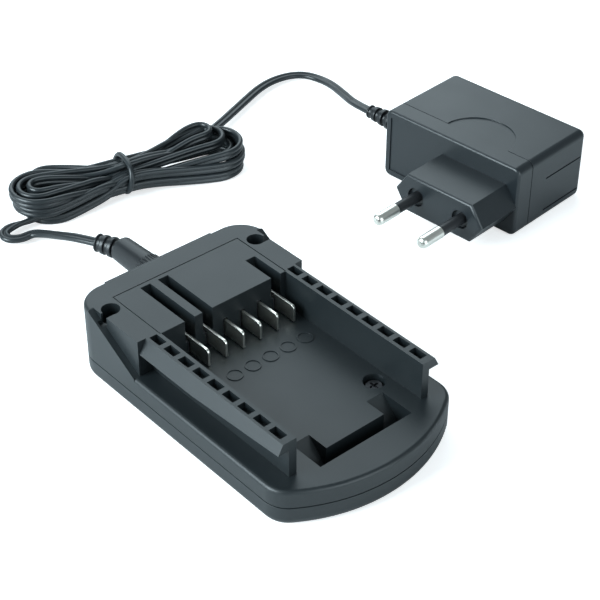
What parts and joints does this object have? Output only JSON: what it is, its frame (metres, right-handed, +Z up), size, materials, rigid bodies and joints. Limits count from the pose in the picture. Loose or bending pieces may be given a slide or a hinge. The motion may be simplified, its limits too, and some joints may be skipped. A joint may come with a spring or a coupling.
{
  "type": "power tool battery charger",
  "caption": "Black slide-pack battery charger: cradle with two rails and upright terminal blades, a plug-in lead folded in a tied hank, and a wall adapter with two round mains pins.",
  "frame": {"origin": "middle of the cradle's flat underside, on the surface it stands on", "axes": "+X to the cradle's right seen from above with the nose towards the viewer, +Y from the rounded nose to the back where the lead plugs in, +Z up"},
  "size_m": [0.1772, 0.188, 0.0248],
  "materials": {
    "case_plastic": "satin, very fine grain",
    "adapter_plastic": "satin, very fine grain",
    "soft_moulding": "matte soft moulding",
    "black_nylon": "semi-matte nylon",
    "lead_jacket": "satin vinyl jacket",
    "tie_plastic": "satin",
    "nickel_metal": "bright nickel plating",
    "screw_steel": "dark plated steel",
    "board_laminate": "green lacquered board",
    "component_plastic": "moulded epoxy",
    "capacitor_sleeve": "shrink sleeve",
    "ferrite": "dull dark grey",
    "winding_tape": "polyester tape over copper"
  },
  "bodies": {
    "cradle": {"base_shell": "case_plastic", "top_shell": "case_plastic", "terminal_cover": "case_plastic", "terminal_blade_1": "nickel_metal", "terminal_blade_2": "nickel_metal", "terminal_blade_3": "nickel_metal", "terminal_blade_4": "nickel_metal", "terminal_blade_5": "nickel_metal", "terminal_blade_6": "nickel_metal", "blade_header": "black_nylon", "case_screws": "screw_steel", "charge_board": "board_laminate", "charge_controller": "component_plastic", "charge_inductor": "ferrite", "smoothing_capacitor": "capacitor_sleeve", "charge_switch": "component_plastic", "jack_housing": "black_nylon", "jack_pin": "nickel_metal", "jack_spring": "nickel_metal"},
    "lead": {"plug_barrel": "nickel_metal", "plug_insulator": "black_nylon", "plug_contact": "nickel_metal", "plug_grip": "soft_moulding", "plug_relief": "soft_moulding", "plug_lead": "lead_jacket", "cord_hank": "lead_jacket", "hank_tie": "tie_plastic", "adapter_lead": "lead_jacket", "adapter_boot": "soft_moulding", "adapter_front_shell": "adapter_plastic", "adapter_rear_shell": "adapter_plastic", "plug_pin_left": "nickel_metal", "plug_pin_right": "nickel_metal", "pin_sleeve_left": "black_nylon", "pin_sleeve_right": "black_nylon", "pin_strip_left": "nickel_metal", "pin_strip_right": "nickel_metal", "mains_board": "board_laminate", "transformer_core": "ferrite", "transformer_winding": "winding_tape", "bulk_capacitor": "capacitor_sleeve", "output_capacitor": "capacitor_sleeve", "bridge_rectifier": "component_plastic", "suppression_choke": "ferrite", "fuse_resistor": "component_plastic", "switching_chip": "component_plastic"}
  },
  "joints": [
    {"name": "dc_plug_pull", "type": "slide", "parent": "cradle", "child": "lead", "axis": [0, 1, 0], "range_m": [0, 0.012]}
  ]
}
